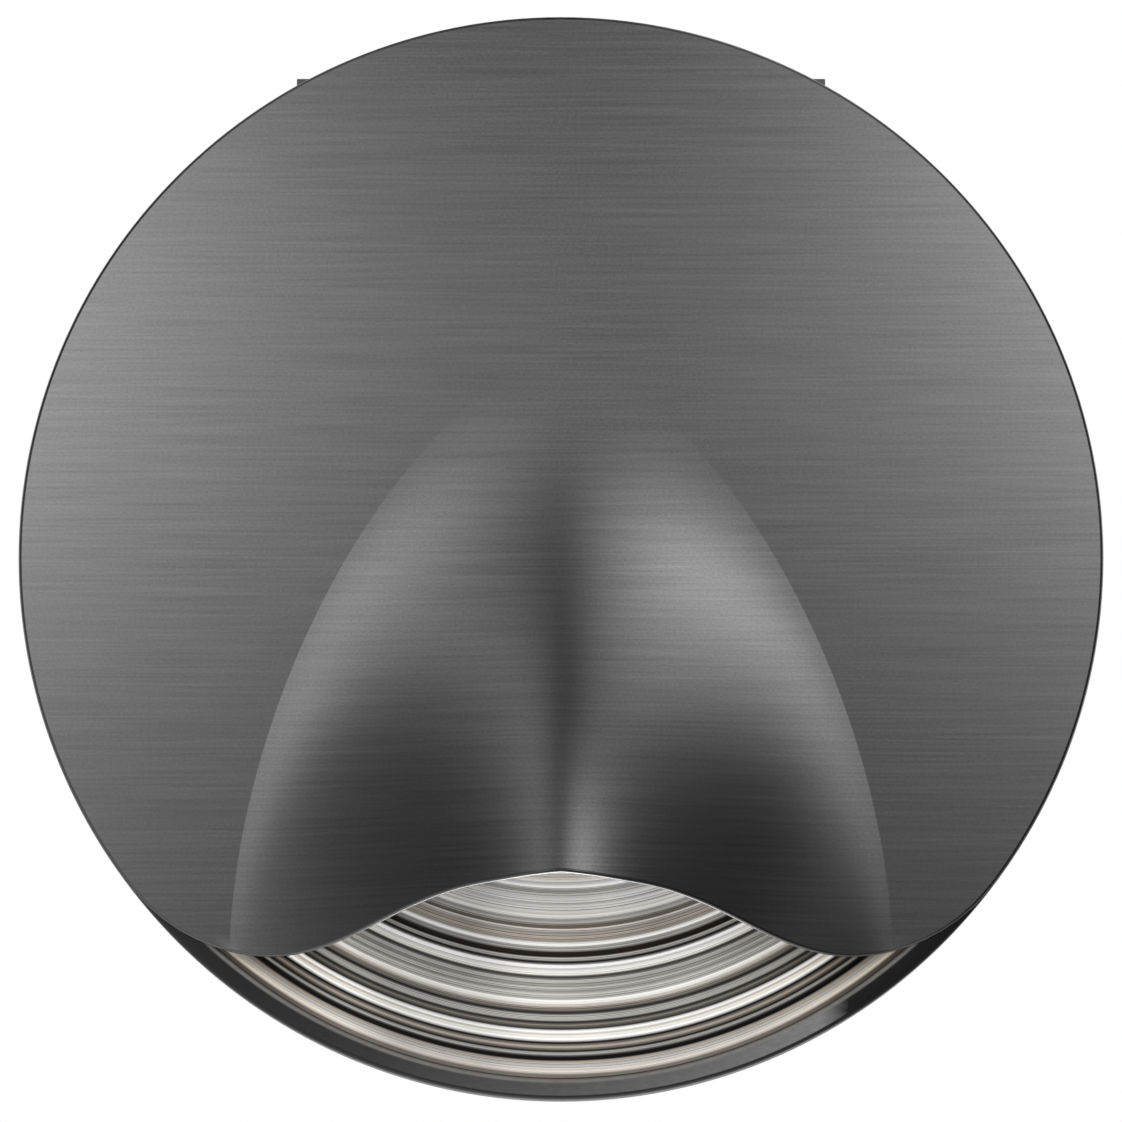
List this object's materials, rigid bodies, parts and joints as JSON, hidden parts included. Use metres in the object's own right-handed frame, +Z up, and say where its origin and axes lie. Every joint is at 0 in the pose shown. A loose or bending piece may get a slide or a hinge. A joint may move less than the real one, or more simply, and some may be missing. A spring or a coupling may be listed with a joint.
{
  "type": "recessed wall light",
  "caption": "Round wall-recessed light: a brushed disc with a pressed hood hides the lens and throws light down over a turned ring reflector; box body with spring clips.",
  "frame": {"origin": "centre of the round flange where its axis meets the finished wall surface", "axes": "+Y into the wall, so the light looks along -Y; +Z up; +X to the right seen from the room"},
  "size_m": [0.1102, 0.0849, 0.1102],
  "materials": {
    "brushed_gunmetal": "horizontally brushed, dark gunmetal tint",
    "turned_aluminium": "polished and turned in rings",
    "dark_enamel": "smooth dark grey",
    "frosted_lens": "frosted",
    "black_rubber": "matte",
    "pale_silicone": "satin",
    "satin_steel": "zinc plated",
    "cast_aluminium": "sand cast",
    "white_laminate": "solder mask",
    "green_laminate": "solder mask",
    "yellow_phosphor": "phosphor gel",
    "grey_pad": "matte",
    "housing_paint": "fine textured dark grey",
    "black_plastic": "satin nylon",
    "amber_tape": "polyimide tape",
    "capacitor_sleeve": "shrink sleeve",
    "dark_ferrite": "matte",
    "green_plastic": "satin",
    "natural_nylon": "satin",
    "red_insulation": "satin",
    "black_insulation": "satin"
  },
  "bodies": {
    "light": {"base_ring": "dark_enamel", "wall_gasket": "black_rubber", "ring_reflector": "turned_aluminium", "stud_grommet_upper_left": "natural_nylon", "stud_grommet_upper_right": "natural_nylon", "stud_grommet_lower_left": "natural_nylon", "stud_grommet_lower_right": "natural_nylon", "lens": "frosted_lens", "lens_gasket": "pale_silicone", "lens_retainer": "turned_aluminium", "retainer_screw_1": "satin_steel", "retainer_screw_2": "satin_steel", "retainer_screw_3": "satin_steel", "led_emitter": "yellow_phosphor", "led_board": "white_laminate", "board_screw_left": "satin_steel", "board_screw_right": "satin_steel", "thermal_pad": "grey_pad", "heat_sink": "cast_aluminium", "heat_sink_screw_left": "satin_steel", "heat_sink_screw_right": "satin_steel", "lead_red": "red_insulation", "lead_black": "black_insulation", "rear_housing": "housing_paint", "mounting_screw_top": "satin_steel", "mounting_screw_bottom": "satin_steel", "cover_gasket": "black_rubber", "rear_cover": "housing_paint", "cover_screw_top": "satin_steel", "cover_screw_bottom": "satin_steel", "driver_board": "green_laminate", "driver_screw_upper": "satin_steel", "driver_screw_lower": "satin_steel", "transformer": "amber_tape", "bulk_capacitor": "capacitor_sleeve", "output_capacitor": "capacitor_sleeve", "filter_choke": "dark_ferrite", "terminal_block": "green_plastic", "terminal_screw_1": "satin_steel", "terminal_screw_2": "satin_steel", "terminal_screw_3": "satin_steel", "gland_body": "black_plastic", "gland_nut": "black_plastic", "gland_seal": "black_rubber", "clip_bracket_left": "satin_steel", "clip_bracket_right": "satin_steel", "clip_pin_left": "satin_steel", "clip_pin_right": "satin_steel", "clip_spring_left": "satin_steel", "clip_spring_right": "satin_steel", "clip_screw_left": "satin_steel", "clip_screw_right": "satin_steel"},
    "face": {"face_plate": "brushed_gunmetal", "plate_stud_upper_left": "satin_steel", "plate_stud_upper_right": "satin_steel", "plate_stud_lower_left": "satin_steel", "plate_stud_lower_right": "satin_steel"},
    "clip_left": {"clip_arm_left": "satin_steel"},
    "clip_right": {"clip_arm_right": "satin_steel"}
  },
  "joints": [
    {"name": "face_plate_pull", "type": "slide", "parent": "light", "child": "face", "axis": [0, -1, 0], "range_m": [0, 0.03]},
    {"name": "clip_left_hinge", "type": "hinge", "parent": "light", "child": "clip_left", "pos_m": [-0.02275, 0.01245, 0], "axis": [0, 0, -1], "range_deg": [0, 95], "stiffness_Nm_per_rad": 0.1, "springref_deg": -34.38, "deforming": ["clip_spring_left"]},
    {"name": "clip_right_hinge", "type": "hinge", "parent": "light", "child": "clip_right", "pos_m": [0.02275, 0.01245, 0], "axis": [0, 0, 1], "range_deg": [0, 95], "stiffness_Nm_per_rad": 0.1, "springref_deg": -34.38, "deforming": ["clip_spring_right"]}
  ]
}
